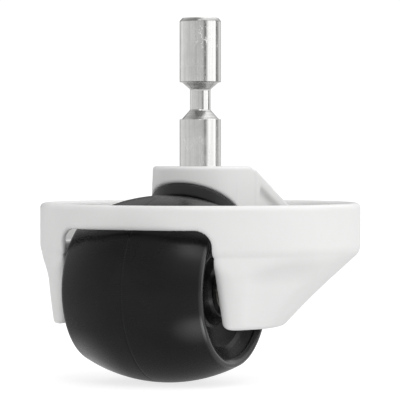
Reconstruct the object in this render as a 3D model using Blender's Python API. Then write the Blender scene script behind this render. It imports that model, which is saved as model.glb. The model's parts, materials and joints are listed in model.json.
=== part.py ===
"""Hooded chair caster: a turned stem swivels in the boss of a moulded hood,
and a barrel-shaped wheel turns on a cross axle held between the hood's legs.

Frame: origin at the centre of the stem's top end face, +Z up along the
swivel axis, X along the wheel axle, -Y towards the trailing wheel.
Dimensions below are millimetres; the mesh is built in metres.
"""
import bpy
import bmesh
import math

MM = 0.001

# ---------------------------------------------------------------- stem
STEM_R = 5.5            # 11 mm stem
STEM_NECK_R = 2.75
STEM_UPPER_END = -17.0  # end of the upper grip cylinder
NECK_TOP = -19.0
NECK_BOTTOM = -24.4
STEM_LOWER_START = -26.9
STEM_BOTTOM = -47.0
CLIP_GROOVE_R = 4.6
CLIP_GROOVE_TOP = -41.9
CLIP_GROOVE_BOTTOM = -43.0

# ---------------------------------------------------------------- hood
RING_R = 42.6           # 85 mm hood
WALL = 2.6
RING_TOP = -49.0
BAND_BOTTOM = -61.5
BASE_Z = -79.8
BASE_R = 29.5           # radius of the hood's outline at its base
BASE_Y = -20.0          # centre of that outline
LEG_AZIMUTH = math.radians(26.5)   # how far the leg faces turn to the rear
LEG_TOP_Z = -68.7
LEG_P_TOP = 39.5        # distance of a leg face from the swivel axis
LEG_P_BASE = 38.1
REAR_TOP = 34.3         # rear faces of the legs
REAR_BASE = 33.2
WINDOW_TOP = -55.3
WINDOW_HALF_TOP = 21.3
WINDOW_HALF_BASE = 22.6
WINDOW_CORNER_R = 4.0
LEG_INNER_X = 21.7
LEG_PLATE_X = 27.6
LEG_PLATE_TOP = -61.0
LEG_PLATE_FRONT = -9.5
LEG_FLOOR = -77.0

# ---------------------------------------------------------------- boss
BOSS_R = 13.0
BOSS_SIDE = 12.55
BOSS_TOP = -39.4
BOSS_CAP = 2.0
BOSS_FRONT_Y = 10.4
ROOF_START_Y = 6.2
ROOF_SLOPE = 0.477
ROOF_THICK = 3.0
WEB_X = 9.8             # middle of each side web under the roof
WEB_HALF = 1.0
SPIGOT_R = 9.5
GAP = 0.3

# ---------------------------------------------------------------- wheel
AXLE_Y = -19.5
AXLE_Z = -71.0
AXLE_R = 3.0
AXLE_HALF = 25.9
WHEEL_R = 24.2
CROWN_R = 44.0
WHEEL_HALF = 20.15
SHOULDER_R = 1.2
ARCH_GAP = 4.05         # from the wheel's crown to the underside of the boss
SADDLE_GAP = 0.95       # from the wheel's crown to the underside of the insert
SEAM_HALF = 0.15        # half the gap at the wheel's mid-plane
HUB_END_X = 17.0

SEG_WHEEL = 40
SEG_STEM = 28
SEG_HOOD = 72

for ob in list(bpy.data.objects):
    bpy.data.objects.remove(ob, do_unlink=True)

scene_collection = bpy.context.scene.collection


# ---------------------------------------------------------------- materials
def principled(name, colour, roughness, metallic):
    mat = bpy.data.materials.new(name)
    mat.use_nodes = True
    bsdf = mat.node_tree.nodes["Principled BSDF"]
    bsdf.inputs["Base Color"].default_value = (*colour, 1.0)
    bsdf.inputs["Roughness"].default_value = roughness
    bsdf.inputs["Metallic"].default_value = metallic
    mat.diffuse_color = (*colour, 1.0)
    return mat


# ---------------------------------------------------------------- helpers
def make_object(name, verts, faces, mat, origin=(0.0, 0.0, 0.0), cutter=False,
                smooth=40.0):
    """Closed mesh object; verts are world millimetres, origin too."""
    mesh = bpy.data.meshes.new(name)
    ox, oy, oz = origin
    mesh.from_pydata([((x - ox) * MM, (y - oy) * MM, (z - oz) * MM)
                      for x, y, z in verts], [], faces)
    bm = bmesh.new()
    bm.from_mesh(mesh)
    bmesh.ops.recalc_face_normals(bm, faces=bm.faces)
    if bm.calc_volume(signed=True) < 0.0:
        bmesh.ops.reverse_faces(bm, faces=bm.faces)
    bm.to_mesh(mesh)
    bm.free()
    mesh.shade_smooth()
    mesh.set_sharp_from_angle(angle=math.radians(smooth))
    ob = bpy.data.objects.new(name, mesh)
    ob.location = (ox * MM, oy * MM, oz * MM)
    if mat is not None:
        mesh.materials.append(mat)
    scene_collection.objects.link(ob)
    if cutter:
        ob.hide_render = True
        ob.display_type = 'WIRE'
    return ob


def lathe(profile, segments, place, start=0.0, sweep=math.tau):
    """Turn a closed (r, h) loop about the h axis. Points on r = 0 become
    poles. place maps (r cos, r sin, h) to world. A sweep below a full turn
    gives flat end faces."""
    full = abs(sweep - math.tau) < 1e-9
    rings = segments if full else segments + 1
    verts, index = [], []
    poles = {}
    for k in range(rings):
        a = start + sweep * k / segments
        row = []
        for j, (r, h) in enumerate(profile):
            if r < 1e-9:
                if j not in poles:
                    poles[j] = len(verts)
                    verts.append(place(0.0, 0.0, h))
                row.append(poles[j])
            else:
                row.append(len(verts))
                verts.append(place(r * math.cos(a), r * math.sin(a), h))
        index.append(row)
    faces = []
    n = len(profile)
    for k in range(segments):
        row, nxt = index[k], index[(k + 1) % rings]
        for j in range(n):
            i = (j + 1) % n
            quad = []
            for v in (row[j], row[i], nxt[i], nxt[j]):
                if v not in quad:
                    quad.append(v)
            if len(quad) >= 3:
                faces.append(tuple(quad))
    if not full:
        faces.append(tuple(index[0]))
        faces.append(tuple(reversed(index[-1])))
    return verts, faces


def about_z(x, y, h):
    return (x, y, h)


def about_axle(x, y, h):
    """Turned profiles of the wheel: h runs along X."""
    return (h, AXLE_Y + x, AXLE_Z + y)


def prism_x(profile, half_or_range):
    """Closed (y, z) loop pushed along X."""
    if isinstance(half_or_range, tuple):
        x0, x1 = half_or_range
    else:
        x0, x1 = -half_or_range, half_or_range
    n = len(profile)
    verts = [(x0, y, z) for y, z in profile] + [(x1, y, z) for y, z in profile]
    faces = [tuple(range(n)), tuple(range(2 * n - 1, n - 1, -1))]
    faces += [(i, (i + 1) % n, n + (i + 1) % n, n + i) for i in range(n)]
    return verts, faces


def prism_z(outline, z0, z1):
    """Closed (x, y) loop pushed along Z."""
    n = len(outline)
    verts = [(x, y, z0) for x, y in outline] + [(x, y, z1) for x, y in outline]
    faces = [tuple(range(n)), tuple(range(2 * n - 1, n - 1, -1))]
    faces += [(i, (i + 1) % n, n + (i + 1) % n, n + i) for i in range(n)]
    return verts, faces


def box(x0, x1, y0, y1, z0, z1):
    return prism_z([(x0, y0), (x1, y0), (x1, y1), (x0, y1)], z0, z1)


def boolean(target, cutter, operation):
    mod = target.modifiers.new(cutter.name, 'BOOLEAN')
    mod.operation = operation
    mod.solver = 'EXACT'
    mod.object = cutter
    return mod


def soft_min(a, b, k):
    h = max(k - abs(a - b), 0.0) / k
    return min(a, b) - h * h * k * 0.25


def ease(t):
    t = min(max(t, 0.0), 1.0)
    return t * t * (3.0 - 2.0 * t)


# ---------------------------------------------------------------- hood shape
def leg_distance(z):
    """Distance of the toed leg faces from the swivel axis at height z."""
    if z >= BAND_BOTTOM:
        return RING_R + 4.0
    if z >= LEG_TOP_Z:
        return RING_R + (LEG_P_TOP - RING_R) * ease(
            (BAND_BOTTOM - z) / (BAND_BOTTOM - LEG_TOP_Z))
    return LEG_P_TOP + (LEG_P_BASE - LEG_P_TOP) * (
        (LEG_TOP_Z - z) / (LEG_TOP_Z - BASE_Z))


def rear_distance(z):
    if z >= BAND_BOTTOM:
        return RING_R + 4.0
    if z >= LEG_TOP_Z:
        return 37.5 + (REAR_TOP - 37.5) * ease(
            (BAND_BOTTOM - z) / (BAND_BOTTOM - LEG_TOP_Z))
    return REAR_TOP + (REAR_BASE - REAR_TOP) * (
        (LEG_TOP_Z - z) / (LEG_TOP_Z - BASE_Z))


def bowl_radius(phi, z, inset=0.0):
    """The hood narrows below its band to an off-centre outline at the base."""
    t = max((BAND_BOTTOM - z) / (BAND_BOTTOM - BASE_Z), 0.0)
    radius = RING_R + (BASE_R - RING_R) * t - inset
    yc = BASE_Y * t
    return yc * math.sin(phi) + math.sqrt(
        max(radius * radius - (yc * math.cos(phi)) ** 2, 1.0))


def outer_radius(phi, z):
    if z >= BAND_BOTTOM:
        return RING_R
    faces = 200.0
    leg = leg_distance(z)
    for side in (-LEG_AZIMUTH, math.pi + LEG_AZIMUTH):
        c = math.cos(phi - side)
        if c > 0.2:
            faces = min(faces, leg / c)
    s = -math.sin(phi)
    if s > 0.2:
        faces = soft_min(faces, rear_distance(z) / s, 4.6)
    return min(soft_min(bowl_radius(phi, z), faces, 1.0), RING_R)


def inner_radius(phi, z):
    if z >= BAND_BOTTOM:
        return RING_R - WALL
    return max(min(bowl_radius(phi, z, 3.1), outer_radius(phi, z) - WALL), 3.0)


def loft(radius_at, levels, segments):
    verts = []
    for z, shrink in levels:
        for k in range(segments):
            phi = math.tau * (k + 0.5) / segments
            r = radius_at(phi, z) - shrink
            verts.append((r * math.cos(phi), r * math.sin(phi), z))
    n = len(levels)
    faces = [tuple(range(segments - 1, -1, -1)),
             tuple(range((n - 1) * segments, n * segments))]
    for j in range(n - 1):
        for k in range(segments):
            a = j * segments + k
            b = j * segments + (k + 1) % segments
            faces.append((a, b, b + segments))
            faces.append((a, b + segments, a + segments))
    return verts, faces


def boss_outline(r, side, front_y, steps=14):
    """Round at the rear, flat sides running forward to a straight front."""
    a0 = math.acos(min(side / r, 1.0))
    pts = []
    for i in range(steps + 1):
        a = math.pi + a0 + (math.pi - 2 * a0) * i / steps
        pts.append((r * math.cos(a), r * math.sin(a)))
    pts.append((side, front_y))
    pts.append((-side, front_y))
    return pts


def arc_yz(radius, z_or_a0, a1, steps):
    """Points on a circle about the axle in the YZ plane, by angle."""
    pts = []
    for i in range(steps + 1):
        a = z_or_a0 + (a1 - z_or_a0) * i / steps
        pts.append((AXLE_Y + radius * math.cos(a),
                    AXLE_Z + radius * math.sin(a)))
    return pts


def crown(x):
    return WHEEL_R - CROWN_R + math.sqrt(CROWN_R ** 2 - x * x)


def tread_outer(steps_crown, steps_shoulder, grow=0.0):
    """(r, x) points from the mid-plane over the crown and round the shoulder."""
    cx = WHEEL_HALF - SHOULDER_R
    cr = WHEEL_R - CROWN_R + math.sqrt((CROWN_R - SHOULDER_R) ** 2 - cx * cx)
    a0 = math.asin(cx / (CROWN_R - SHOULDER_R))
    pts = []
    for i in range(steps_crown + 1):
        a = a0 * i / steps_crown
        if i == 0:
            a = math.asin(SEAM_HALF / CROWN_R)
        pts.append((WHEEL_R - CROWN_R + (CROWN_R + grow) * math.cos(a),
                    (CROWN_R + grow) * math.sin(a)))
    end = math.pi / 2 + (0.0 if grow else 0.9)
    for i in range(1, steps_shoulder + 1):
        a = a0 + (end - a0) * i / steps_shoulder
        pts.append((cr + (SHOULDER_R + grow) * math.cos(a),
                    cx + (SHOULDER_R + grow) * math.sin(a)))
    return pts


def barrel(gap, half, steps):
    """Closed (r, x) loop of a barrel that clears the wheel's crown by gap."""
    pts = [(0.0, -half)]
    for i in range(steps + 1):
        x = -half + 2.0 * half * i / steps
        pts.append((crown(x) + gap, x))
    pts.append((0.0, half))
    return pts


# ---------------------------------------------------------------- materials
white = principled("white_moulding", (0.80, 0.80, 0.79), 0.38, 0.0)
steel = principled("plated_steel", (0.62, 0.62, 0.60), 0.24, 1.0)
black_core = principled("black_core", (0.018, 0.018, 0.019), 0.35, 0.0)
black_tread = principled("black_tread", (0.025, 0.025, 0.026), 0.45, 0.0)
black_insert = principled("black_insert", (0.03, 0.03, 0.032), 0.42, 0.0)
bush_plastic = principled("bush_plastic", (0.55, 0.54, 0.50), 0.40, 0.0)
spring_steel = principled("spring_steel", (0.35, 0.35, 0.36), 0.35, 1.0)

# ---------------------------------------------------------------- joints
swivel = bpy.data.objects.new("swivel_axis", None)
scene_collection.objects.link(swivel)
wheel_axis = bpy.data.objects.new("wheel_axis", None)
wheel_axis.location = (0.0, AXLE_Y * MM, AXLE_Z * MM)
scene_collection.objects.link(wheel_axis)
wheel_axis.parent = swivel


def hang(ob, parent):
    """Parent without moving the object in the world."""
    offset = parent.location.copy()
    if parent.parent is not None:
        offset += parent.parent.location
    ob.parent = parent
    ob.location = ob.location - offset


# ---------------------------------------------------------------- stem
stem_profile = [
    (0.0, 0.0), (STEM_R - 1.0, 0.0), (STEM_R - 0.35, -0.3), (STEM_R, -1.1),
    (STEM_R, STEM_UPPER_END + 0.25), (STEM_R - 0.35, STEM_UPPER_END),
    (STEM_R - 0.7, STEM_UPPER_END - 0.1), (STEM_NECK_R + 0.25, NECK_TOP + 0.15),
    (STEM_NECK_R, NECK_TOP - 0.25), (STEM_NECK_R, NECK_BOTTOM + 0.25),
    (STEM_NECK_R + 0.25, NECK_BOTTOM - 0.15),
    (STEM_R - 0.7, STEM_LOWER_START + 0.1),
    (STEM_R, STEM_LOWER_START), (STEM_R, CLIP_GROOVE_TOP),
    (CLIP_GROOVE_R, CLIP_GROOVE_TOP), (CLIP_GROOVE_R, CLIP_GROOVE_BOTTOM),
    (STEM_R, CLIP_GROOVE_BOTTOM), (STEM_R, STEM_BOTTOM + 0.8),
    (STEM_R - 0.8, STEM_BOTTOM), (0.0, STEM_BOTTOM),
]
v, f = lathe(stem_profile, SEG_STEM, about_z)
stem_pin = make_object("stem_pin", v, f, steel)

clip_profile = [(4.9, -42.05), (6.6, -42.05), (6.6, -42.85), (4.9, -42.85)]
v, f = lathe(clip_profile, 30, about_z, start=math.radians(20.0),
             sweep=math.radians(320.0))
stem_clip = make_object("stem_clip", v, f, spring_steel)

# ---------------------------------------------------------------- swivel parts
v, f = lathe([(5.8, -43.3), (7.0, -43.3), (7.0, -46.5), (5.8, -46.5)],
             SEG_STEM, about_z)
hang(make_object("swivel_bush", v, f, bush_plastic), swivel)

v, f = lathe([(0.0, -47.3), (4.7, -47.3), (5.0, -47.6), (5.0, -48.3),
              (0.0, -48.3)], SEG_STEM, about_z)
hang(make_object("thrust_disc", v, f, spring_steel), swivel)

# insert: a spigot in the boss and a saddle that follows the wheel
v, f = lathe(barrel(ARCH_GAP - GAP, 16.0, 8), 72, about_axle)
saddle_solid = make_object("saddle_solid", v, f, None, cutter=True)
v, f = prism_z(boss_outline(BOSS_R - 0.1, BOSS_SIDE - 0.1, BOSS_FRONT_Y - 0.35),
               -58.5, -39.0)
socket_insert = make_object("socket_insert", v, f, black_insert)
boolean(socket_insert, saddle_solid, 'INTERSECT')
v, f = lathe([(0.0, BOSS_TOP - BOSS_CAP - GAP), (SPIGOT_R, BOSS_TOP - BOSS_CAP - GAP),
              (SPIGOT_R, -52.0), (0.0, -52.0)], SEG_STEM, about_z)
spigot = make_object("spigot_solid", v, f, None, cutter=True)
boolean(socket_insert, spigot, 'UNION')
v, f = lathe(barrel(SADDLE_GAP, 17.0, 8), 72, about_axle)
saddle_cut = make_object("saddle_cut", v, f, None, cutter=True)
boolean(socket_insert, saddle_cut, 'DIFFERENCE')
v, f = lathe([(0.0, -40.0), (7.3, -40.0), (7.3, -46.8), (5.3, -46.8),
              (5.3, -48.6), (0.0, -48.6)], SEG_STEM, about_z)
socket_cut = make_object("socket_cut", v, f, None, cutter=True)
boolean(socket_insert, socket_cut, 'DIFFERENCE')
hang(socket_insert, swivel)

# ---------------------------------------------------------------- hood frame
levels = [(BASE_Z, 0.0)]
for i in range(1, 4):
    levels.append((BASE_Z + (LEG_TOP_Z - BASE_Z) * i / 4.0, 0.0))
for i in range(0, 4):
    levels.append((LEG_TOP_Z + (BAND_BOTTOM - LEG_TOP_Z) * i / 4.0, 0.0))
levels += [(BAND_BOTTOM, 0.0), (RING_TOP - 0.8, 0.0), (RING_TOP - 0.2, 0.25),
           (RING_TOP, 0.8)]
v, f = loft(outer_radius, levels, SEG_HOOD)
hood = make_object("hood_frame", v, f, white, smooth=30.0)

inner_levels = [(BASE_Z - 0.6, 0.0), (BASE_Z, 0.0)]
for i in range(1, 5):
    inner_levels.append((BASE_Z + (BAND_BOTTOM - BASE_Z) * i / 5.0, 0.0))
inner_levels += [(BAND_BOTTOM, 0.0), (RING_TOP - 0.6, 0.0),
                 (RING_TOP + 0.2, -0.6)]
v, f = loft(inner_radius, inner_levels, SEG_HOOD)
bowl_cut = make_object("bowl_cut", v, f, None, cutter=True)
for side in (-1, 1):
    tag = "left" if side < 0 else "right"
    x0, x1 = sorted((side * LEG_INNER_X, side * LEG_PLATE_X))
    v, f = box(x0, x1, -44.0, LEG_PLATE_FRONT, -84.0, LEG_PLATE_TOP)
    plate = make_object("leg_plate_" + tag, v, f, None, cutter=True)
    boolean(bowl_cut, plate, 'DIFFERENCE')
    x0, x1 = sorted((side * (LEG_PLATE_X - 2.0), side * 50.0))
    v, f = box(x0, x1, -44.5, LEG_PLATE_FRONT + 0.3, -84.5, LEG_FLOOR)
    floor = make_object("leg_floor_" + tag, v, f, None, cutter=True)
    boolean(bowl_cut, floor, 'DIFFERENCE')
boolean(hood, bowl_cut, 'DIFFERENCE')

# rear window between the legs
corner = []
for i in range(7):
    a = math.pi / 2 * i / 6
    corner.append((WINDOW_HALF_TOP - WINDOW_CORNER_R + WINDOW_CORNER_R * math.sin(a),
                   WINDOW_TOP - WINDOW_CORNER_R + WINDOW_CORNER_R * math.cos(a)))
window = [(x, z) for x, z in corner] + [(WINDOW_HALF_TOP + 0.1, -68.0),
                                        (WINDOW_HALF_BASE, -80.6)]
window += [(-x, z) for x, z in reversed(window)]
n = len(window)
verts = [(x, -60.0, z) for x, z in window] + [(x, -22.0, z) for x, z in window]
faces = [tuple(range(n)), tuple(range(2 * n - 1, n - 1, -1))]
faces += [(i, (i + 1) % n, n + (i + 1) % n, n + i) for i in range(n)]
window_cut = make_object("window_cut", verts, faces, None, cutter=True)
boolean(hood, window_cut, 'DIFFERENCE')

# room for the wheel
clear = tread_outer(8, 5, grow=0.8)
clear = [(r, x) for r, x in clear]
clear[0] = (WHEEL_R + 0.8, 0.0)
loop = clear + [(0.0, clear[-1][1])]
loop = loop + [(0.0, -clear[-1][1])] + [(r, -x) for r, x in reversed(clear[1:])]
v, f = lathe(loop, SEG_WHEEL, about_axle)
wheel_room = make_object("wheel_room", v, f, None, cutter=True)
boolean(hood, wheel_room, 'DIFFERENCE')

# boss, sloping roof and web; the arch over the wheel is cut from them alone
def roof_z(y):
    return BOSS_TOP - (y - ROOF_START_Y) * ROOF_SLOPE


mid_wall = RING_R - 0.5 * WALL
outline = boss_outline(BOSS_R, BOSS_SIDE, BOSS_FRONT_Y)[:-2]
half = math.asin(BOSS_SIDE / mid_wall)
for i in range(9):
    a = half - 2.0 * half * i / 8
    outline.append((mid_wall * math.sin(a), mid_wall * math.cos(a)))
v, f = prism_z(outline, -60.0, BOSS_TOP)
boss = make_object("boss_solid", v, f, None, cutter=True)
v, f = prism_x([(ROOF_START_Y, roof_z(ROOF_START_Y)), (46.0, roof_z(46.0)),
                (46.0, BOSS_TOP + 20.0), (ROOF_START_Y - 20.0, BOSS_TOP + 20.0),
                (ROOF_START_Y - 20.0, roof_z(ROOF_START_Y - 20.0))], 24.0)
above_roof = make_object("above_roof", v, f, None, cutter=True)
boolean(boss, above_roof, 'DIFFERENCE')
v, f = prism_x([(BOSS_FRONT_Y, -64.0), (46.0, -64.0),
                (46.0, roof_z(46.0) - ROOF_THICK),
                (BOSS_FRONT_Y, roof_z(BOSS_FRONT_Y) - ROOF_THICK)], 25.0)
under_roof = make_object("under_roof", v, f, None, cutter=True)
boolean(boss, under_roof, 'DIFFERENCE')
web = [(BOSS_FRONT_Y - 1.0, roof_z(BOSS_FRONT_Y - 1.0) - 1.0),
       (BOSS_FRONT_Y - 1.0, -60.0)]
web += [(y, z) for y, z in reversed(arc_yz(WHEEL_R + ARCH_GAP + 1.4, -0.12, 0.32, 5))]
for i in range(0, 5):
    z = -74.0 + (BAND_BOTTOM + 74.0) * i / 4.0
    web.append((bowl_radius(math.pi / 2, z, 1.6) - 1.4, z))
web += [(mid_wall - 1.6, roof_z(mid_wall - 1.6) - 1.0)]
for side in (-1, 1):
    tag = "left" if side < 0 else "right"
    v, f = prism_x(web, WEB_HALF)
    v = [(x + side * WEB_X, y, z) for x, y, z in v]
    web_plate = make_object("web_plate_" + tag, v, f, None, cutter=True)
    boolean(boss, web_plate, 'UNION')
v, f = lathe(barrel(ARCH_GAP, 16.5, 8), 72, about_axle)
arch_cut = make_object("arch_cut", v, f, None, cutter=True)
boolean(boss, arch_cut, 'DIFFERENCE')
v, f = lathe([(0.0, -30.0), (STEM_R + 0.35, -30.0),
              (STEM_R + 0.35, BOSS_TOP - BOSS_CAP),
              (SPIGOT_R + GAP, BOSS_TOP - BOSS_CAP),
              (SPIGOT_R + GAP, -62.0), (0.0, -62.0)], SEG_STEM, about_z)
bore_cut = make_object("bore_cut", v, f, None, cutter=True)
boolean(boss, bore_cut, 'DIFFERENCE')
boolean(hood, boss, 'UNION')

# blind pockets that hold the axle ends
v, f = lathe([(0.0, 26.2), (AXLE_R + GAP, 26.2), (AXLE_R + GAP, -26.2),
              (0.0, -26.2)], 24, about_axle)
axle_cut = make_object("axle_cut", v, f, None, cutter=True)
boolean(hood, axle_cut, 'DIFFERENCE')
hang(hood, swivel)

# ---------------------------------------------------------------- axle
v, f = lathe([(0.0, AXLE_HALF), (AXLE_R - 0.5, AXLE_HALF),
              (AXLE_R, AXLE_HALF - 0.5), (AXLE_R, -AXLE_HALF + 0.5),
              (AXLE_R - 0.5, -AXLE_HALF), (0.0, -AXLE_HALF)], 24, about_axle)
hang(make_object("axle_pin", v, f, steel, origin=(0.0, AXLE_Y, AXLE_Z)), swivel)

# ---------------------------------------------------------------- wheel
tread_loop = tread_outer(5, 5)
tread_loop += [(17.42, 19.15), (17.5, 18.75), (18.25, 18.75), (19.2, 16.0),
               (20.6, 9.0), (21.3, SEAM_HALF)]
core_loop = [
    (4.9, SEAM_HALF), (4.9, HUB_END_X), (6.9, HUB_END_X), (7.4, 16.5),
    (8.4, 13.9), (9.4, 13.6), (14.6, 15.9), (15.2, 16.5), (17.2, 18.5),
    (17.95, 18.45), (18.9, 16.0), (20.3, 9.0), (21.0, SEAM_HALF),
]
for side in (-1, 1):
    tag = "left" if side < 0 else "right"
    v, f = lathe([(r, side * x) for r, x in tread_loop], SEG_WHEEL, about_axle)
    tread = make_object("tread_" + tag, v, f, black_tread,
                        origin=(0.0, AXLE_Y, AXLE_Z), smooth=50.0)
    hang(tread, wheel_axis)
    v, f = lathe([(r, side * x) for r, x in core_loop], SEG_WHEEL, about_axle)
    core = make_object("wheel_core_" + tag, v, f, black_core,
                       origin=(0.0, AXLE_Y, AXLE_Z), smooth=35.0)
    hang(core, wheel_axis)
    v, f = lathe([(3.3, side * 0.5), (3.3, side * 16.7), (4.6, side * 16.7),
                  (4.6, side * 0.5)], 24, about_axle)
    hang(make_object("hub_bush_" + tag, v, f, bush_plastic,
                     origin=(0.0, AXLE_Y, AXLE_Z)), wheel_axis)
    v, f = lathe([(3.3, side * 17.3), (3.3, side * 21.3), (4.6, side * 21.3),
                  (4.6, side * 17.3)], 24, about_axle)
    hang(make_object("side_washer_" + tag, v, f, bush_plastic,
                     origin=(0.0, AXLE_Y, AXLE_Z)), swivel)
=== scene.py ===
import json
import math

import bpy
import numpy as np
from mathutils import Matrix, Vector


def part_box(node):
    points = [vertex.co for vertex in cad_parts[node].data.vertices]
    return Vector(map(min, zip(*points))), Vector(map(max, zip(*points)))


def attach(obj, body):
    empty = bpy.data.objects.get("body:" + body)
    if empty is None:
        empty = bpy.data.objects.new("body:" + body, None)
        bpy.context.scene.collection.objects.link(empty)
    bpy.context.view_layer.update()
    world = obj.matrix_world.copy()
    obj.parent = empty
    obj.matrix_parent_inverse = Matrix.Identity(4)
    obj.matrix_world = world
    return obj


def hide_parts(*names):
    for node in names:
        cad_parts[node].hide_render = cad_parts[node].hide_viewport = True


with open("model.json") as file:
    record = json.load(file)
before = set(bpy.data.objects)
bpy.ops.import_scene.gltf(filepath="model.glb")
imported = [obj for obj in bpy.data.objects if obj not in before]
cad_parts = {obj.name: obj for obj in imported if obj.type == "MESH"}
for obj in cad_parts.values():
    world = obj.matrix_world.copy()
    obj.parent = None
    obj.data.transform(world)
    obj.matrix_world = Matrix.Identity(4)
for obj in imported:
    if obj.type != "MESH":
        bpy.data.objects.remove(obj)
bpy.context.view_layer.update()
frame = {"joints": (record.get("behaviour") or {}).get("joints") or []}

scene = bpy.context.scene
MM = 0.001

# ------------------------------------------------------------------ sizes, mm
# Positions come from the frame: joint axes and node boxes.
joints = {j["name"]: j for j in frame["joints"]}
AXLE_Y = joints["wheel_spin"]["pos_m"][1] / MM
AXLE_Z = joints["wheel_spin"]["pos_m"][2] / MM


def node_box(name):
    lo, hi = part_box(name)
    return [v / MM for v in lo], [v / MM for v in hi]


hood_lo, hood_hi = node_box("hood_frame")
stem_lo, stem_hi = node_box("stem_pin")
axle_lo, axle_hi = node_box("axle_pin")
RING_R = hood_hi[1]
BASE_Z = hood_lo[2] - 0.35
BOSS_TOP = hood_hi[2]
STEM_R = stem_hi[0]
STEM_BOTTOM = stem_lo[2]
WHEEL_R = node_box("tread_right")[1][2] - AXLE_Z
WHEEL_HALF = node_box("tread_right")[1][0]
AXLE_HALF = axle_hi[0]
FLOOR_Z = AXLE_Z - WHEEL_R

WALL = 2.6
RING_TOP = -49.0
BAND_BOTTOM = -61.9
LEG_AZ = math.radians(26.5)
WINDOW_TOP = -55.3
LEG_INNER_X = 21.7
LEG_PLATE_X = 27.6
LEG_PLATE_TOP = -58.6
LEG_PLATE_FRONT = -9.5
LEG_FLOOR = -77.0
BOSS_R = 13.0
BOSS_SIDE = 12.55
BOSS_FRONT_Y = 10.4
ROOF_START_Y = 6.2
ROOF_SLOPE = 0.477
ROOF_THICK = 3.0
WEB_X = 10.6
WEB_HALF = 1.0
ARCH_GAP = 4.05
SADDLE_GAP = 0.75
SPIGOT_R = 9.5
CROWN_R = 44.0
SHOULDER_R = 0.75
BASE_OUT_R = 29.5
BASE_OUT_Y = -20.0


# ------------------------------------------------------------------ node kit
class Nodes:
    """A small wrapper that keeps material node trees readable."""

    def __init__(self, mat):
        self.tree = mat.node_tree
        self.n = mat.node_tree.nodes
        self.l = mat.node_tree.links
        self.bsdf = self.n["Principled BSDF"] if "Principled BSDF" in self.n else None

    def add(self, kind, **props):
        node = self.n.new(kind)
        for k, v in props.items():
            setattr(node, k, v)
        return node

    def link(self, a, b):
        self.l.new(a, b)

    def value(self, op, a, b=None, c=None, clamp=False):
        node = self.add("ShaderNodeMath", operation=op, use_clamp=clamp)
        for i, v in enumerate((a, b, c)):
            if v is None:
                continue
            if isinstance(v, (int, float)):
                node.inputs[i].default_value = v
            else:
                self.link(v, node.inputs[i])
        return node.outputs[0]

    def coords(self, scale=(1.0, 1.0, 1.0), rotation=(0.0, 0.0, 0.0)):
        tc = self.add("ShaderNodeTexCoord")
        mp = self.add("ShaderNodeMapping")
        mp.inputs["Scale"].default_value = scale
        mp.inputs["Rotation"].default_value = rotation
        self.link(tc.outputs["Object"], mp.inputs["Vector"])
        return mp.outputs["Vector"]

    def noise(self, vec, scale, detail=3.0, rough=0.55, distortion=0.0):
        node = self.add("ShaderNodeTexNoise")
        node.inputs["Scale"].default_value = scale
        node.inputs["Detail"].default_value = detail
        node.inputs["Roughness"].default_value = rough
        node.inputs["Distortion"].default_value = distortion
        self.link(vec, node.inputs["Vector"])
        return node.outputs["Fac"]

    def ramp(self, fac, stops, mode='LINEAR'):
        node = self.add("ShaderNodeValToRGB")
        el = node.color_ramp.elements
        node.color_ramp.interpolation = mode
        while len(el) > 1:
            el.remove(el[-1])
        el[0].position = stops[0][0]
        el[0].color = colour4(stops[0][1])
        for p, c in stops[1:]:
            e = el.new(p)
            e.color = colour4(c)
        self.link(fac, node.inputs["Fac"])
        return node.outputs["Color"]

    def mix(self, fac, a, b, blend='MIX'):
        node = self.add("ShaderNodeMix", data_type='RGBA', blend_type=blend)
        for sock, v in ((node.inputs[0], fac), (node.inputs[6], a), (node.inputs[7], b)):
            if isinstance(v, (int, float)):
                sock.default_value = v
            elif isinstance(v, tuple):
                sock.default_value = colour4(v)
            else:
                self.link(v, sock)
        return node.outputs[2]

    def bump(self, height, strength, distance, normal=None):
        node = self.add("ShaderNodeBump")
        node.inputs["Strength"].default_value = strength
        node.inputs["Distance"].default_value = distance
        self.link(height, node.inputs["Height"])
        if normal is not None:
            self.link(normal, node.inputs["Normal"])
        return node.outputs["Normal"]

    def map_range(self, v, a0, a1, b0, b1):
        node = self.add("ShaderNodeMapRange")
        self.link(v, node.inputs[0])
        for i, x in enumerate((a0, a1, b0, b1)):
            node.inputs[i + 1].default_value = x
        return node.outputs[0]


def colour4(c):
    if isinstance(c, (int, float)):
        return (c, c, c, 1.0)
    return (*c[:3], 1.0)


def new_material(name):
    mat = bpy.data.materials.new(name)
    mat.use_nodes = True
    return mat, Nodes(mat)


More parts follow.
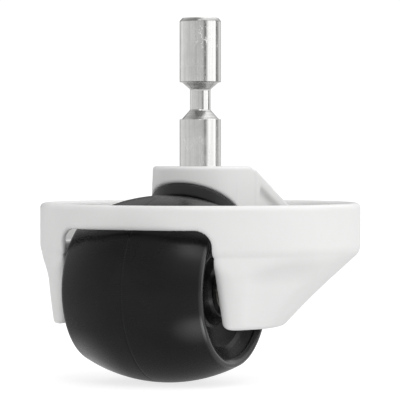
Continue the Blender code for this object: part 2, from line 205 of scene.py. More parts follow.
# ------------------------------------------------------------------ materials
def moulded_white():
    mat, k = new_material("white_moulding")
    vec = k.coords()
    broad = k.noise(vec, 55.0, 4.0, 0.6)
    flow = k.noise(k.coords((1.0, 1.0, 0.35)), 210.0, 3.0, 0.6, 0.4)
    grain = k.noise(vec, 5200.0, 2.0, 0.5)
    fine = k.noise(vec, 1700.0, 3.0, 0.6)
    base = k.ramp(broad, [(0.25, (0.775, 0.777, 0.772)), (0.75, (0.815, 0.815, 0.808))])
    geo = k.add("ShaderNodeNewGeometry")
    edge = k.map_range(geo.outputs["Pointiness"], 0.52, 0.60, 0.0, 1.0)
    worn = k.value('MULTIPLY', edge, k.map_range(flow, 0.45, 0.7, 0.0, 0.5), clamp=True)
    base = k.mix(worn, base, (0.86, 0.86, 0.85))
    # painted shade: concave places (low pointiness) are greyed, standing in for the shade that falls in creases
    # and recesses
    painted_crease_shade = k.map_range(geo.outputs["Pointiness"], 0.40, 0.49, 0.35, 0.0)
    base = k.mix(painted_crease_shade, base, (0.66, 0.66, 0.645))
    k.link(base, k.bsdf.inputs["Base Color"])
    rough = k.map_range(flow, 0.3, 0.7, 0.33, 0.43)
    rough = k.value('ADD', rough, k.map_range(fine, 0.3, 0.7, -0.03, 0.03))
    k.link(rough, k.bsdf.inputs["Roughness"])
    n1 = k.bump(grain, 0.16, 0.00003)
    n2 = k.bump(fine, 0.10, 0.00005, n1)
    k.link(n2, k.bsdf.inputs["Normal"])
    k.bsdf.inputs["IOR"].default_value = 1.49
    k.bsdf.inputs["Subsurface Weight"].default_value = 0.0
    return mat


def band_mask(k, z, lo, hi, soft):
    """1 between two heights (metres), fading out over soft."""
    up_edge = k.map_range(z, lo - soft, lo + soft, 0.0, 1.0)
    down_edge = k.map_range(z, hi - soft, hi + soft, 1.0, 0.0)
    return k.value('MULTIPLY', up_edge, down_edge, clamp=True)


def turned_steel(name, colour, base_rough, scuffs=True, stem=False):
    mat, k = new_material(name)
    lathe_lines = k.noise(k.coords((14.0, 14.0, 1.0)), 1.0, 1.0)
    rings = k.noise(k.coords((90.0, 90.0, 9000.0)), 1.0, 3.0, 0.65)
    rings2 = k.noise(k.coords((40.0, 40.0, 2300.0)), 1.0, 2.0, 0.6)
    drawn = k.noise(k.coords((2600.0, 2600.0, 60.0)), 1.0, 3.0, 0.6)
    streak = k.noise(k.coords((1000.0, 1000.0, 22.0)), 1.0, 3.0, 0.65, 0.4)
    cloud = k.noise(k.coords(), 260.0, 4.0, 0.65, 0.6)
    base = k.ramp(cloud, [(0.3, tuple(c * 0.93 for c in colour)),
                          (0.7, tuple(min(c * 1.05, 1.0) for c in colour))])
    base = k.mix(k.map_range(drawn, 0.4, 0.75, 0.0, 0.30), base,
                 tuple(c * 0.72 for c in colour))
    base = k.mix(k.map_range(streak, 0.46, 0.60, 0.0, 0.36), base,
                 tuple(c * 0.70 for c in colour))
    rough = k.map_range(cloud, 0.3, 0.7, base_rough - 0.03, base_rough + 0.05)
    rough = k.value('ADD', rough, k.map_range(rings, 0.3, 0.7, -0.02, 0.03))
    if scuffs:
        marks = k.noise(k.coords((1500.0, 1500.0, 320.0), (0.5, 0.3, 0.4)), 1.0, 4.0, 0.7, 1.5)
        where = k.noise(k.coords(), 130.0, 2.0, 0.5)
        mask = k.value('MULTIPLY', k.map_range(marks, 0.58, 0.66, 0.0, 1.0),
                       k.map_range(where, 0.46, 0.57, 0.0, 1.0), clamp=True)
        if stem:
            # handling marks gathered on one side of the upper grip
            rubbed = k.add("ShaderNodeVectorMath", operation='DISTANCE')
            k.link(k.coords((1.0, 1.0, 0.62)), rubbed.inputs[0])
            rubbed.inputs[1].default_value = (0.0034, -0.0043, -0.0034)
            nicks = k.noise(k.coords((1500.0, 1500.0, 900.0)), 1.0, 4.0, 0.7, 0.8)
            spot = k.value('MULTIPLY', k.map_range(nicks, 0.53, 0.60, 0.0, 1.0),
                           k.map_range(rubbed.outputs["Value"], 0.0012, 0.0034, 1.0, 0.0),
                           clamp=True)
            mask = k.value('MAXIMUM', mask, spot)
        base = k.mix(k.value('MULTIPLY', mask, 0.80), base, (0.92, 0.92, 0.91))
        pits = k.noise(k.coords((1.0, 1.0, 0.6), (0.2, 0.7, 0.1)), 1900.0, 3.0, 0.7, 0.8)
        dark = k.value('MULTIPLY', k.map_range(pits, 0.64, 0.70, 0.0, 0.7),
                       k.map_range(where, 0.50, 0.64, 0.0, 1.0), clamp=True)
        base = k.mix(dark, base, tuple(c * 0.45 for c in colour))
        rough = k.value('ADD', rough, k.value('MULTIPLY', mask, 0.38))
    if stem:
        # painted shade: the tapers, with streaky tone, are darkened to paint the dark reflections they show, and
        # the tapers are a little rougher
        pos = k.add("ShaderNodeSeparateXYZ")
        k.link(k.coords(), pos.inputs[0])
        z = pos.outputs[2]
        painted_shade_taper_mask = k.value('ADD', band_mask(k, z, -0.01905, -0.0171, 0.00008),
                        band_mask(k, z, -0.02688, -0.0243, 0.00008), clamp=True)
        painted_taper_streaks = k.noise(k.coords((60.0, 60.0, 4200.0)), 1.0, 2.0, 0.6)
        tone = k.map_range(painted_taper_streaks, 0.35, 0.65, 0.24, 0.66)
        base = k.mix(k.value('MULTIPLY', painted_shade_taper_mask, tone), base,
                     tuple(c * 0.28 for c in colour))
        # painted shade: darker bands at the top end chamfer and at the upper taper's top edge, painting a dark
        # reflected outline
        painted_shade_edge_mask = k.value('ADD', band_mask(k, z, -0.00105, -0.00030, 0.00012),
                      band_mask(k, z, -0.01712, -0.0169, 0.00006), clamp=True)
        base = k.mix(k.value('MULTIPLY', painted_shade_edge_mask, 0.70), base, tuple(c * 0.35 for c in colour))
        rough = k.value('ADD', rough, k.value('MULTIPLY', painted_shade_taper_mask, 0.02))
    k.link(base, k.bsdf.inputs["Base Color"])
    k.link(rough, k.bsdf.inputs["Roughness"])
    k.bsdf.inputs["Metallic"].default_value = 1.0
    n1 = k.bump(rings, 0.10, 0.000012)
    n2 = k.bump(rings2, 0.08, 0.00002, n1)
    n3 = k.bump(drawn, 0.05, 0.00001, n2)
    k.link(n3, k.bsdf.inputs["Normal"])
    return mat


def black_plastic(name, dark, light, rough_lo, rough_hi, grain_scale, grain_strength,
                  spec, dust=0.0, streak=(1.0, 1.0, 1.0), lip=None):
    mat, k = new_material(name)
    vec = k.coords()
    broad = k.noise(k.coords(streak), 70.0, 4.0, 0.6, 0.3)
    grain = k.noise(vec, grain_scale, 2.0, 0.55)
    fine = k.noise(vec, 1300.0, 3.0, 0.6)
    scratch = k.noise(k.coords((60.0, 2600.0, 2600.0)), 1.0, 3.0, 0.7, 0.8)
    base = k.ramp(broad, [(0.3, dark), (0.7, light)])
    if dust:
        specks = k.noise(vec, 900.0, 4.0, 0.75)
        m = k.value('MULTIPLY', k.map_range(specks, 0.58, 0.72, 0.0, dust),
                    k.map_range(broad, 0.4, 0.7, 0.2, 1.0), clamp=True)
        base = k.mix(m, base, (0.11, 0.11, 0.107))
    geo = k.add("ShaderNodeNewGeometry")
    edge = k.map_range(geo.outputs["Pointiness"], 0.53, 0.62, 0.0, 0.35)
    base = k.mix(edge, base, (0.03, 0.03, 0.031))
    k.link(base, k.bsdf.inputs["Base Color"])
    rough = k.map_range(broad, 0.3, 0.7, rough_lo, rough_hi)
    rough = k.value('ADD', rough, k.map_range(scratch, 0.55, 0.75, 0.0, 0.08))
    k.link(rough, k.bsdf.inputs["Roughness"])
    n1 = k.bump(grain, grain_strength, 0.00003)
    n2 = k.bump(fine, 0.04, 0.00004, n1)
    k.link(n2, k.bsdf.inputs["Normal"])
    k.bsdf.inputs["IOR"].default_value = 1.5
    k.bsdf.inputs["Specular IOR Level"].default_value = spec
    if lip:
        # the moulded lip beyond this distance from the mid-plane is polished
        pos = k.add("ShaderNodeSeparateXYZ")
        k.link(k.coords(), pos.inputs[0])
        out = k.map_range(k.value('ABSOLUTE', pos.outputs[0]), lip, lip + 0.0008, 0.0, 1.0)
        k.link(k.value('MULTIPLY_ADD', out, 0.62, spec), k.bsdf.inputs["Specular IOR Level"])
        k.link(k.value('MULTIPLY_ADD', out, -0.10, rough), k.bsdf.inputs["Roughness"])
    return mat


MAT = {
    "white_plastic": moulded_white(),
    "steel": turned_steel("plated_steel", (0.735, 0.735, 0.72), 0.16, True, True),
    "spring_steel": turned_steel("spring_steel", (0.36, 0.36, 0.37), 0.30, False),
    "black_tread": black_plastic("black_tread", (0.0050, 0.0050, 0.0053),
                                 (0.0085, 0.0085, 0.0088), 0.22, 0.31, 4200.0, 0.05, 0.20,
                                 dust=0.02, lip=0.0192),
    "black_core": black_plastic("black_core", (0.0070, 0.0070, 0.0074),
                                (0.0100, 0.0100, 0.0104), 0.22, 0.30, 5200.0, 0.06, 0.32),
    "black_insert": black_plastic("black_insert", (0.019, 0.019, 0.020),
                                  (0.025, 0.025, 0.026), 0.34, 0.44, 4600.0, 0.10, 0.35),
    "bush_plastic": None,
}


def acetal():
    mat, k = new_material("natural_acetal")
    vec = k.coords()
    broad = k.noise(vec, 120.0, 3.0, 0.6)
    grain = k.noise(vec, 4800.0, 2.0, 0.55)
    turned = k.noise(k.coords((4200.0, 60.0, 60.0)), 1.0, 2.0, 0.6)
    k.link(k.ramp(broad, [(0.3, (0.52, 0.51, 0.47)), (0.7, (0.60, 0.59, 0.55))]),
           k.bsdf.inputs["Base Color"])
    k.link(k.map_range(broad, 0.3, 0.7, 0.36, 0.46), k.bsdf.inputs["Roughness"])
    k.link(k.bump(turned, 0.08, 0.00002, k.bump(grain, 0.10, 0.00003)),
           k.bsdf.inputs["Normal"])
    return mat


MAT["bush_plastic"] = acetal()


# ------------------------------------------------------------------ mesh kit
def add_piece(name, verts_mm, faces, slot, body, nodes, origin=(0.0, 0.0, 0.0),
              sharp=None):
    mesh = bpy.data.meshes.new(name)
    v = (np.asarray(verts_mm, dtype=np.float64) - np.asarray(origin)) * MM
    if isinstance(faces, np.ndarray):
        nf = len(faces)
        mesh.vertices.add(len(v))
        mesh.vertices.foreach_set("co", v.astype(np.float32).ravel())
        mesh.loops.add(nf * 4)
        mesh.loops.foreach_set("vertex_index", faces.astype(np.int32).ravel())
        mesh.polygons.add(nf)
        mesh.polygons.foreach_set("loop_start", np.arange(0, nf * 4, 4, dtype=np.int32))
        mesh.polygons.foreach_set("loop_total", np.full(nf, 4, dtype=np.int32))
        mesh.update(calc_edges=True)
    else:
        mesh.from_pydata([tuple(p) for p in v], [], faces)
    mesh.validate()
    mesh.shade_smooth()
    if sharp is not None:
        mesh.set_sharp_from_angle(angle=math.radians(sharp))
    ob = bpy.data.objects.new(name, mesh)
    ob.location = tuple(c * MM for c in origin)
    scene.collection.objects.link(ob)
    mesh.materials.append(MAT[slot])
    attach(ob, body)
    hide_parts(*nodes)
    return ob


def rounded(points, steps=5, hold=0.12):
    """Round the corners of a (r, h) path. Each point is (r, h) or
    (r, h, radius). A little straight length is held beside each arc so the
    flats shade flat. The first and last points stay as they are when they lie
    on the axis; otherwise the path is a closed loop."""
    pts = [(p[0], p[1], p[2] if len(p) > 2 else 0.0) for p in points]
    n = len(pts)
    closed = not (pts[0][0] < 1e-9 and pts[-1][0] < 1e-9)
    out = []
    for i, (x, y, rad) in enumerate(pts):
        if (not closed and i in (0, n - 1)) or rad <= 0.0:
            out.append((x, y))
            continue
        p = np.array((x, y), float)
        a = np.array(pts[(i - 1) % n][:2], float)
        b = np.array(pts[(i + 1) % n][:2], float)
        u = (a - p) / np.linalg.norm(a - p)
        w = (b - p) / np.linalg.norm(b - p)
        ang = math.acos(float(np.clip(u @ w, -1.0, 1.0)))
        if ang > math.radians(179.0):
            out.append((x, y))
            continue
        t = rad / math.tan(ang / 2.0)
        t = min(t, 0.48 * np.linalg.norm(a - p), 0.48 * np.linalg.norm(b - p))
        rr = t * math.tan(ang / 2.0)
        c = p + (u + w) / np.linalg.norm(u + w) * (rr / math.sin(ang / 2.0))
        s, e = p + u * t, p + w * t
        if np.linalg.norm(a - p) > t + hold * 1.5:
            out.append(tuple(p + u * (t + hold)))
        sweep = math.pi - ang
        k = max(2, int(math.ceil(steps * sweep / (math.pi / 2))))
        a0 = math.atan2(*(s - c)[::-1])
        a1 = math.atan2(*(e - c)[::-1])
        d = (a1 - a0 + math.pi) % (2 * math.pi) - math.pi
        for j in range(k + 1):
            q = a0 + d * j / k
            out.append((c[0] + rr * math.cos(q), c[1] + rr * math.sin(q)))
        if np.linalg.norm(b - p) > t + hold * 1.5:
            out.append(tuple(p + w * (t + hold)))
    return out


def turn(profile, segments, place, start=0.0, sweep=math.tau):
    full = abs(sweep - math.tau) < 1e-9
    rings = segments if full else segments + 1
    verts, index, poles = [], [], {}
    for k in range(rings):
        a = start + sweep * k / segments
        row = []
        for j, (r, h) in enumerate(profile):
            if r < 1e-7:
                if j not in poles:
                    poles[j] = len(verts)
                    verts.append(place(0.0, 0.0, h))
                row.append(poles[j])
            else:
                row.append(len(verts))
                verts.append(place(r * math.cos(a), r * math.sin(a), h))
        index.append(row)
    faces = []
    n = len(profile)
    closed = not (profile[0][0] < 1e-7 and profile[-1][0] < 1e-7)
    for k in range(segments):
        row, nxt = index[k], index[(k + 1) % rings]
        for j in range(n if closed else n - 1):
            i = (j + 1) % n
            quad = []
            for v in (row[j], row[i], nxt[i], nxt[j]):
                if v not in quad:
                    quad.append(v)
            if len(quad) >= 3:
                faces.append(tuple(quad))
    if not full:
        faces.append(tuple(index[0]))
        faces.append(tuple(reversed(index[-1])))
    return verts, orient(verts, faces)


def orient(verts, faces):
    """Flip every face if the closed mesh is inside out."""
    v = np.asarray(verts)
    vol = 0.0
    for f in faces:
        a = v[f[0]]
        for i in range(1, len(f) - 1):
            vol += float(np.dot(a, np.cross(v[f[i]], v[f[i + 1]])))
    return faces if vol > 0 else [tuple(reversed(f)) for f in faces]


def on_z(x, y, h):
    return (x, y, h)


def on_axle(x, y, h):
    return (h, AXLE_Y + x, AXLE_Z + y)


# ------------------------------------------------------------------ implicit shapes
def smin(a, b, k):
    h = np.maximum(k - np.abs(a - b), 0.0) / k
    return np.minimum(a, b) - h * h * (k * 0.25)


def smax(a, b, k):
    h = np.maximum(k - np.abs(a - b), 0.0) / k
    return np.maximum(a, b) + h * h * (k * 0.25)


def crown(x):
    return WHEEL_R - CROWN_R + np.sqrt(np.maximum(CROWN_R ** 2 - x * x, 1.0))


def bowl_radius(sin_p, cos_p, z, inset):
    t = (BAND_BOTTOM - z) / (BAND_BOTTOM - BASE_Z)
    tp = np.maximum(t, 0.0)
    flare = 0.009 * np.maximum(-68.0 - z, 0.0) ** 2
    radius = RING_R + (BASE_OUT_R - RING_R) * t + flare - inset
    yc = BASE_OUT_Y * tp
    return yc * sin_p + np.sqrt(np.maximum(radius ** 2 - (yc * cos_p) ** 2, 1.0))


def leg_plane(z):
    a = RING_R - 0.60 * (-62.1 - z)
    b = 39.45 - 0.13 * (-68.7 - z)
    return smax(a, b, 1.0)


def rear_plane(z):
    a = 37.2 - 0.55 * (-62.1 - z)
    b = 34.3 - 0.10 * (-68.7 - z)
    return smax(a, b, 1.0)


def outer_radius(sin_p, cos_p, z, inset=0.0, ring=None):
    """Outline of the hood as a radius from the swivel axis; cos_p >= 0."""
    ring = RING_R if ring is None else ring
    bowl = bowl_radius(sin_p, cos_p, z, inset)
    c = cos_p * math.cos(LEG_AZ) - sin_p * math.sin(LEG_AZ)
    leg = (leg_plane(z) - inset) / np.maximum(c, 0.05)
    leg = np.where(c > 0.2, leg, 200.0)
    s = -sin_p
    rear = (rear_plane(z) - inset) / np.maximum(s, 0.05)
    rear = np.where(s > 0.2, rear, 200.0)
    rho = smin(bowl, smin(leg, rear, 4.8), 0.9)
    return smin(rho, ring, 1.4)


def boss_outline(X, Y, Z, inset):
    """Round at the rear, flat sides; a little draft towards the top."""
    draft = 0.045 * (Z + 49.0)
    side = np.abs(X) - (BOSS_SIDE - inset - 0.5 * draft)
    rho = np.sqrt(X * X + Y * Y)
    return np.where(Y < 0.0, np.maximum(rho - (BOSS_R - inset - draft), side), side)


def hood_distance(X, Y, Z):
    ax = np.abs(X)
    rho = np.sqrt(X * X + Y * Y) + 1e-6
    sin_p, cos_p = Y / rho, ax / rho
    rw = np.sqrt((Y - AXLE_Y) ** 2 + (Z - AXLE_Z) ** 2)

    rho_out = outer_radius(sin_p, cos_p, Z)
    slope = np.where(Z < BAND_BOTTOM, 0.82, 1.0)
    body = (rho - rho_out) * slope
    body = smax(body, Z - RING_TOP, 1.5)
    body = smax(body, BASE_Z - Z, 0.9)

    rho_in = outer_radius(sin_p, cos_p, Z, 2.9, RING_R - WALL)
    room = (rho - rho_in) * slope
    plate = np.maximum(np.abs(ax - 0.5 * (LEG_INNER_X + LEG_PLATE_X))
                       - 0.5 * (LEG_PLATE_X - LEG_INNER_X), Y - LEG_PLATE_FRONT)
    plate = smax(plate, Z - LEG_PLATE_TOP, 1.0)
    floor = np.maximum(np.maximum(LEG_PLATE_X - 2.0 - ax, Y - LEG_PLATE_FRONT - 0.3),
                       Z - LEG_FLOOR)
    room = smax(room, -smin(plate, floor, 0.8), 0.9)
    d = smax(body, -room, 1.5)

    low = np.clip((-58.5 - Z) / 4.0, 0.0, 1.0)
    half = 21.3 - 0.65 * low + np.maximum(-68.0 - Z, 0.0) * 0.11
    qx, qz = ax - (half - 4.0), Z - (WINDOW_TOP - 4.0)
    window = (np.sqrt(np.maximum(qx, 0.0) ** 2 + np.maximum(qz, 0.0) ** 2)
              + np.minimum(np.maximum(qx, qz), 0.0) - 4.0)
    window = np.maximum(window, Y + 22.0)
    d = smax(d, -window, 1.5 + 1.9 * low)

    barrel = np.maximum(rw - crown(ax) - 0.8, ax - (WHEEL_HALF + 0.85))
    d = smax(d, -barrel, 0.4)

    # boss, roof and web
    outline = boss_outline(X, Y, Z, 0.0)
    roof = (Z - (BOSS_TOP - (Y - ROOF_START_Y) * ROOF_SLOPE)) * 0.9026
    top = smax(Z - BOSS_TOP, roof, 0.4)
    b = smax(outline, top, 0.9)
    b = smax(b, rho - (RING_R - 0.5 * WALL), 0.3)
    under = smax(BOSS_FRONT_Y - Y, roof + ROOF_THICK * 0.9026, 1.6)
    b = smax(b, -under, 0.9)
    web = np.maximum(np.abs(ax - WEB_X) - WEB_HALF, BOSS_FRONT_Y - 1.2 - Y)
    web = np.maximum(web, roof + 1.0)
    web = smax(web, crown(ax) + ARCH_GAP + 1.4 - rw, 0.8)
    web = np.maximum(web, (rho - (rho_out - 1.5)) * slope)
    web = np.maximum(web, -75.0 - Z)
    b = smin(b, web, 2.2)
    b = smax(b, crown(ax) + ARCH_GAP - rw, 0.7)
    b = np.maximum(b, -64.0 - Z)
    socket = np.maximum(rho - (SPIGOT_R + 0.3), Z - (BOSS_TOP - 2.0))
    b = smax(b, -socket, 0.3)
    b = smax(b, STEM_R + 0.35 - rho, 0.35)
    d = smin(d, b, 1.3)

    pocket = np.maximum(rw - 3.3, ax - 26.2)
    return smax(d, -pocket, 0.4)


def surface_net(fn, lo, hi, step, settle=3):
    """Closed quad mesh of fn = 0 on a regular grid, settled onto the surface."""
    axes = [np.arange(lo[i], hi[i] + step, step, dtype=np.float32) for i in range(3)]
    shape = tuple(len(a) for a in axes)
    val = np.empty(shape, dtype=np.float32)
    for i in range(0, shape[0], 16):            # slabs keep the arrays small
        X, Y, Z = np.meshgrid(axes[0][i:i + 16], axes[1], axes[2], indexing="ij")
        val[i:i + 16] = fn(X, Y, Z)
    neg = val < 0.0
    nx, ny, nz = shape
    cell = (nx - 1, ny - 1, nz - 1)
    acc = np.zeros(cell + (3,), dtype=np.float32)
    cnt = np.zeros(cell, dtype=np.float32)
    for axis in range(3):
        others = [a for a in range(3) if a != axis]
        for u in (0, 1):
            for w in (0, 1):
                s0 = [slice(0, -1)] * 3
                s0[others[0]] = slice(u, u + cell[others[0]])
                s0[others[1]] = slice(w, w + cell[others[1]])
                s1 = list(s0)
                s0[axis], s1[axis] = slice(0, -1), slice(1, None)
                a, b = val[tuple(s0)], val[tuple(s1)]
                cross = neg[tuple(s0)] != neg[tuple(s1)]
                t = np.where(cross, a / np.where(cross, a - b, 1.0), 0.0)
                acc[..., axis] += t
                acc[..., others[0]] += np.where(cross, u, 0)
                acc[..., others[1]] += np.where(cross, w, 0)
                cnt += cross
    used = cnt > 0
    ident = np.full(cell, -1, dtype=np.int64)
    where = np.argwhere(used)
    ident[used] = np.arange(len(where))
    verts = (where + acc[used] / cnt[used][:, None]) * step
    verts = verts + np.array([a[0] for a in axes])
    quads = []
    for axis in range(3):
        o0, o1 = [(1, 2), (2, 0), (0, 1)][axis]
        s0 = [slice(1, -1)] * 3
        s1 = [slice(1, -1)] * 3
        s0[axis], s1[axis] = slice(0, -1), slice(1, None)
        cross = neg[tuple(s0)] != neg[tuple(s1)]
        inside = neg[tuple(s0)]
        idx = np.argwhere(cross)
        base = idx.copy()
        base[:, o0] += 1
        base[:, o1] += 1

        def at(d0, d1):
            q = base.copy()
            q[:, o0] -= d0
            q[:, o1] -= d1
            return ident[q[:, 0], q[:, 1], q[:, 2]]

        quad = np.stack([at(1, 1), at(0, 1), at(0, 0), at(1, 0)], axis=1)
        flip = ~inside[cross]
        quad[flip] = quad[flip][:, ::-1]
        quads.append(quad)
    quads = np.concatenate(quads)
    e = 0.02
    v = verts.astype(np.float64)
    start = v.copy()
    for _ in range(settle):
        f = fn(v[:, 0], v[:, 1], v[:, 2])
        g = np.empty_like(v)
        for i in range(3):
            q = v.copy()
            q[:, i] += e
            r = v.copy()
            r[:, i] -= e
            g[:, i] = (fn(q[:, 0], q[:, 1], q[:, 2]) - fn(r[:, 0], r[:, 1], r[:, 2])) / (2 * e)
        g2 = np.maximum((g * g).sum(axis=1), 0.05)
        v -= g * (f / g2)[:, None] * 0.9
        off = v - start
        length = np.linalg.norm(off, axis=1)
        v = start + off * np.minimum(1.0, 0.6 * step / np.maximum(length, 1e-9))[:, None]
    return v, quads


# ------------------------------------------------------------------ hood
GRID = 0.42
v, q = surface_net(hood_distance, (-43.4, -43.4, BASE_Z - 0.9),
                   (43.4, 43.4, BOSS_TOP + 0.9), GRID)
hood = add_piece("hood_shell", v, q, "white_plastic", "hood", ["hood_frame"])

# ------------------------------------------------------------------ socket insert
def insert_distance(X, Y, Z):
    ax = np.abs(X)
    rho = np.sqrt(X * X + Y * Y) + 1e-6
    rw = np.sqrt((Y - AXLE_Y) ** 2 + (Z - AXLE_Z) ** 2)
    outline = np.maximum(boss_outline(X, Y, Z, 0.05), Y - (BOSS_FRONT_Y - 0.35))
    saddle = smax(rw - (crown(ax) + ARCH_GAP - 0.12), outline, 0.4)
    saddle = np.maximum(saddle, -58.4 - Z)
    spigot = smax(rho - SPIGOT_R, Z - (BOSS_TOP - 2.3), 0.5)
    d = smax(smin(saddle, spigot, 0.5), -58.5 - Z, 0.4)
    d = smax(d, crown(ax) + SADDLE_GAP - rw, 0.4)
    bore = np.maximum(rho - 7.3, -46.8 - Z)
    seat = np.maximum(rho - 5.3, -48.6 - Z)
    return smax(d, -np.minimum(bore, seat), 0.3)


v, q = surface_net(insert_distance, (-14.0, -14.0, -60.0), (14.0, 11.4, -40.4),
                   0.3)
add_piece("socket_saddle", v, q, "black_insert", "hood", ["socket_insert"])

# ------------------------------------------------------------------ stem
r = STEM_R
stem = [(0.0, 0.0), (r - 0.05, 0.0, 1.15), (r, -1.9), (r, -17.05, 0.12),
        (r - 0.62, -17.15, 0.1), (2.75, -18.95, 0.7), (2.75, -24.45, 0.7),
        (r - 0.62, -26.85, 0.1), (r, -26.95, 0.12), (r, -41.9, 0.06),
        (4.6, -41.9, 0.06), (4.6, -43.0, 0.06), (r, -43.0, 0.06),
        (r, STEM_BOTTOM + 0.8, 0.1), (r - 0.8, STEM_BOTTOM, 0.15),
        (0.0, STEM_BOTTOM)]
stem[1] = (r - 0.75, 0.0, 0.35)
stem[2] = (r, -0.85, 0.4)
v, f = turn(rounded(stem, 7, 0.08), 128, on_z)
add_piece("stem_turned", v, f, "steel", "stem", ["stem_pin"])

v, f = turn(rounded([(4.9, -42.05, 0.12), (6.6, -42.05, 0.12), (6.6, -42.85, 0.12),
                     (4.9, -42.85, 0.12)], 4, 0.05), 72, on_z,
            math.radians(20.0), math.radians(320.0))
add_piece("stem_clip_ring", v, f, "spring_steel", "stem", ["stem_clip"], sharp=50)

v, f = turn(rounded([(5.8, -43.3, 0.15), (7.0, -43.3, 0.15), (7.0, -46.5, 0.15),
                     (5.8, -46.5, 0.15)], 4), 96, on_z)
add_piece("swivel_sleeve", v, f, "bush_plastic", "hood", ["swivel_bush"])
v, f = turn(rounded([(0.0, -47.3), (5.0, -47.3, 0.35), (5.0, -48.3, 0.1),
                     (0.0, -48.3)], 4), 96, on_z)
add_piece("thrust_plate", v, f, "spring_steel", "hood", ["thrust_disc"])

# ------------------------------------------------------------------ axle
origin = (0.0, AXLE_Y, AXLE_Z)
v, f = turn(rounded([(0.0, AXLE_HALF), (3.0, AXLE_HALF, 0.5), (3.0, -AXLE_HALF, 0.5),
                     (0.0, -AXLE_HALF)], 5), 96, on_axle)
add_piece("axle_rod", v, f, "steel", "hood", ["axle_pin"], origin)

# ------------------------------------------------------------------ wheel
SEAM = 0.008


def tread_profile():
    cx = WHEEL_HALF - SHOULDER_R
    cr = WHEEL_R - CROWN_R + math.sqrt((CROWN_R - SHOULDER_R) ** 2 - cx * cx)
    a0 = math.asin(cx / (CROWN_R - SHOULDER_R))
    first = math.asin((SEAM + 0.03) / CROWN_R)
    pts = [(crown(SEAM) - 0.05, SEAM), (float(crown(SEAM + 0.02)) - 0.012, SEAM + 0.01)]
    for i in range(41):
        a = first + (a0 - first) * i / 40
        pts.append((WHEEL_R - CROWN_R + CROWN_R * math.cos(a), CROWN_R * math.sin(a)))
    end = math.pi / 2 + 0.9
    for i in range(1, 17):
        a = a0 + (end - a0) * i / 16
        pts.append((cr + SHOULDER_R * math.cos(a), cx + SHOULDER_R * math.sin(a)))
    return pts


outer = tread_profile()
tread = outer + [(17.12, 19.38), (17.05, 19.2), (17.05, 18.98), (17.14, 18.82), (17.3, 18.75),
                 (18.2, 18.75), (19.2, 16.0), (20.6, 9.0), (21.3, SEAM)]
core = rounded([
    (4.9, SEAM, 0.1), (4.9, 17.0, 0.25), (6.9, 17.0, 0.4), (7.5, 16.0, 0.5),
    (8.5, 13.8, 0.9), (9.6, 13.6, 0.6), (14.5, 15.7, 1.0), (15.4, 16.7, 0.6),
    (17.36, 18.68, 0.12), (18.0, 18.68, 0.1), (18.9, 16.0), (20.3, 9.0), (21.0, SEAM)], 6)
for side in (-1, 1):
    tag = "left" if side < 0 else "right"
    v, f = turn([(float(a), side * float(b)) for a, b in tread], 224, on_axle)
    add_piece("tread_half_" + tag, v, f, "black_tread", "wheel", ["tread_" + tag],
              origin, sharp=60)
    v, f = turn([(float(a), side * float(b)) for a, b in core], 160, on_axle)
    add_piece("core_half_" + tag, v, f, "black_core", "wheel", ["wheel_core_" + tag],
              origin, sharp=60)
    v, f = turn(rounded([(3.3, side * 0.5, 0.2), (3.3, side * 16.7, 0.2),
                         (4.6, side * 16.7, 0.2), (4.6, side * 0.5, 0.2)], 4), 96, on_axle)
    add_piece("hub_sleeve_" + tag, v, f, "bush_plastic", "wheel", ["hub_bush_" + tag], origin)
    v, f = turn(rounded([(3.3, side * 17.3, 0.2), (3.3, side * 21.3, 0.2),
                         (4.6, side * 21.3, 0.2), (4.6, side * 17.3, 0.2)], 4), 96, on_axle)
    add_piece("spacer_" + tag, v, f, "bush_plastic", "hood", ["side_washer_" + tag], origin)

# ------------------------------------------------------------------ floor
mesh = bpy.data.meshes.new("studio_floor")
s, z = 3.0, FLOOR_Z * MM - 0.0001
mesh.from_pydata([(-s, -s, z), (s, -s, z), (s, s, z), (-s, s, z)], [], [(0, 1, 2, 3)])
floor = bpy.data.objects.new("studio_floor", mesh)
scene.collection.objects.link(floor)
mat, k = new_material("pale_floor")
tone = k.noise(k.coords(), 9.0, 3.0, 0.5)
k.link(k.ramp(tone, [(0.2, (0.40, 0.40, 0.40)), (0.8, (0.43, 0.43, 0.43))]),
       k.bsdf.inputs["Base Color"])
k.bsdf.inputs["Roughness"].default_value = 0.9
k.bsdf.inputs["Specular IOR Level"].default_value = 0.0
k.bsdf.inputs["Emission Color"].default_value = (1.0, 1.0, 1.0, 1.0)
# the floor glows: paler to the camera, and two glowing patches beside the wheel, seen only by glossy rays, paint
# reflection highlights on the tread
rays = k.add("ShaderNodeLightPath")
spot = k.add("ShaderNodeVectorMath", operation='DISTANCE')
k.link(k.coords(), spot.inputs[0])
spot.inputs[1].default_value = (0.028, -0.052, z)
painted_reflection_pool = k.value('MULTIPLY', k.map_range(spot.outputs["Value"], 0.005, 0.016, 3.3, 0.0),
               rays.outputs["Is Glossy Ray"])
beside = k.add("ShaderNodeVectorMath", operation='DISTANCE')
k.link(k.coords(), beside.inputs[0])
beside.inputs[1].default_value = (-0.026, -0.026, z)
painted_reflection_pool2 = k.value('MULTIPLY', k.map_range(beside.outputs["Value"], 0.004, 0.018, 0.6, 0.0),
                rays.outputs["Is Glossy Ray"])
painted_reflection_pool = k.value('ADD', painted_reflection_pool, painted_reflection_pool2)
base = k.map_range(rays.outputs["Is Camera Ray"], 0.0, 1.0, 0.38, 0.76)
k.link(k.value('ADD', base, painted_reflection_pool), k.bsdf.inputs["Emission Strength"])
mesh.materials.append(mat)

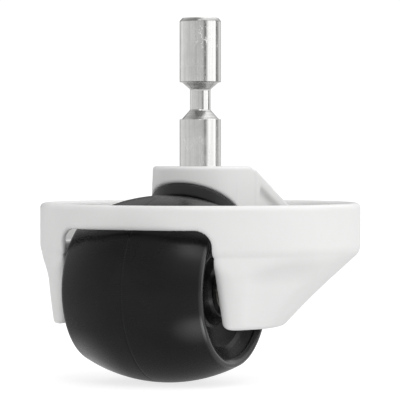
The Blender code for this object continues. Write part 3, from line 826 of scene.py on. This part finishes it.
# ------------------------------------------------------------------ camera
AZIMUTH = math.radians(27.0)
DISTANCE = 0.600
target = Vector((-0.0001, 0.0, -0.0484))
cam_data = bpy.data.cameras.new("camera")
cam = bpy.data.objects.new("camera", cam_data)
scene.collection.objects.link(cam)
cam.location = (DISTANCE * math.sin(AZIMUTH), -DISTANCE * math.cos(AZIMUTH), -0.0361)
cam_data.lens = 202.8
cam_data.sensor_width = 36.0
cam_data.clip_start = 0.05
cam_data.clip_end = 50.0
cam.rotation_euler = (target - cam.location).to_track_quat("-Z", "Y").to_euler()
scene.camera = cam
right = Vector((math.cos(AZIMUTH), math.sin(AZIMUTH), 0.0))
near = Vector((math.sin(AZIMUTH), -math.cos(AZIMUTH), 0.0))
up = Vector((0.0, 0.0, 1.0))

# ------------------------------------------------------------------ light
world = bpy.data.worlds.new("studio")
scene.world = world
world.use_nodes = True
wt = world.node_tree
for n in list(wt.nodes):
    wt.nodes.remove(n)


class W(Nodes):
    def __init__(self, tree):
        self.tree, self.n, self.l, self.bsdf = tree, tree.nodes, tree.links, None


k = W(wt)
tc = k.add("ShaderNodeTexCoord")
sep = k.add("ShaderNodeSeparateXYZ")


def dot(axis):
    node = k.add("ShaderNodeVectorMath", operation='DOT_PRODUCT')
    k.link(tc.outputs["Generated"], node.inputs[0])
    node.inputs[1].default_value = tuple(axis)
    return node.outputs["Value"]


# angle round the vertical, 0.5 towards the camera, rising to the camera's right
side_c, near_c, up_c = dot(right), dot(near), dot(up)
turn_angle = k.value('ADD', k.value('DIVIDE', k.value('ARCTAN2', side_c, near_c), 2 * math.pi), 0.5)


def at(deg):
    return 0.5 + deg / 360.0


low = k.ramp(turn_angle, [(at(-179), 0.14), (at(-158), 0.24), (at(-142), 0.86), (at(-120), 0.94), (at(-75), 0.76),
                          (at(-45), 0.69), (at(-20), 0.65), (at(0), 0.63), (at(11), 0.60),
                          (at(17), 0.54), (at(24), 0.14), (at(30), 0.14), (at(36), 0.78),
                          (at(47), 1.62), (at(62), 1.47), (at(76), 1.47), (at(89), 2.02),
                          (at(99), 0.28), (at(107), 0.18), (at(118), 0.62), (at(135), 1.00),
                          (at(160), 0.60), (at(179), 0.14)])
high = k.ramp(turn_angle, [(at(-179), 1.05), (at(-150), 0.92), (at(-90), 0.44), (at(-30), 0.47),
                           (at(30), 1.68), (at(90), 1.86), (at(150), 1.22), (at(179), 1.05)])
rise = k.value('DIVIDE', k.value('ARCSINE', up_c), math.pi / 180.0)
sky = k.mix(k.map_range(rise, 14.0, 40.0, 0.0, 1.0), low, high)
sky = k.mix(k.map_range(rise, 75.0, 90.0, 0.0, 1.0), sky, (0.80, 0.80, 0.80))
bg = k.add("ShaderNodeBackground")
k.link(sky, bg.inputs["Color"])
bg.inputs["Strength"].default_value = 1.0
white = k.add("ShaderNodeBackground")
white.inputs["Color"].default_value = (1.0, 1.0, 1.0, 1.0)
white.inputs["Strength"].default_value = 1.05
path = k.add("ShaderNodeLightPath")
mixer = k.add("ShaderNodeMixShader")
k.link(path.outputs["Is Camera Ray"], mixer.inputs[0])
k.link(bg.outputs[0], mixer.inputs[1])
k.link(white.outputs[0], mixer.inputs[2])
out = k.add("ShaderNodeOutputWorld")
k.link(mixer.outputs[0], out.inputs["Surface"])


def area(name, place, aim, size, power):
    data = bpy.data.lights.new(name, 'AREA')
    data.shape = 'RECTANGLE'
    data.size, data.size_y = size
    data.energy = power
    ob = bpy.data.objects.new(name, data)
    ob.location = place
    ob.rotation_euler = (aim - place).to_track_quat("-Z", "Y").to_euler()
    scene.collection.objects.link(ob)
    return ob


centre = Vector((0.0, 0.0, -0.06))


def towards(az, el):
    """Direction from azimuth (from the camera, to its right) and elevation."""
    a, e = math.radians(az), math.radians(el)
    return (near * math.cos(a) + right * math.sin(a)) * math.cos(e) + up * math.sin(e)


area("overhead", centre + towards(-5.0, 52.0) * 0.8, centre, (0.18, 0.24), 0.62)

scene.view_settings.view_transform = 'Standard'
scene.view_settings.look = 'None'
scene.view_settings.exposure = 0.0
scene.view_settings.gamma = 1.0
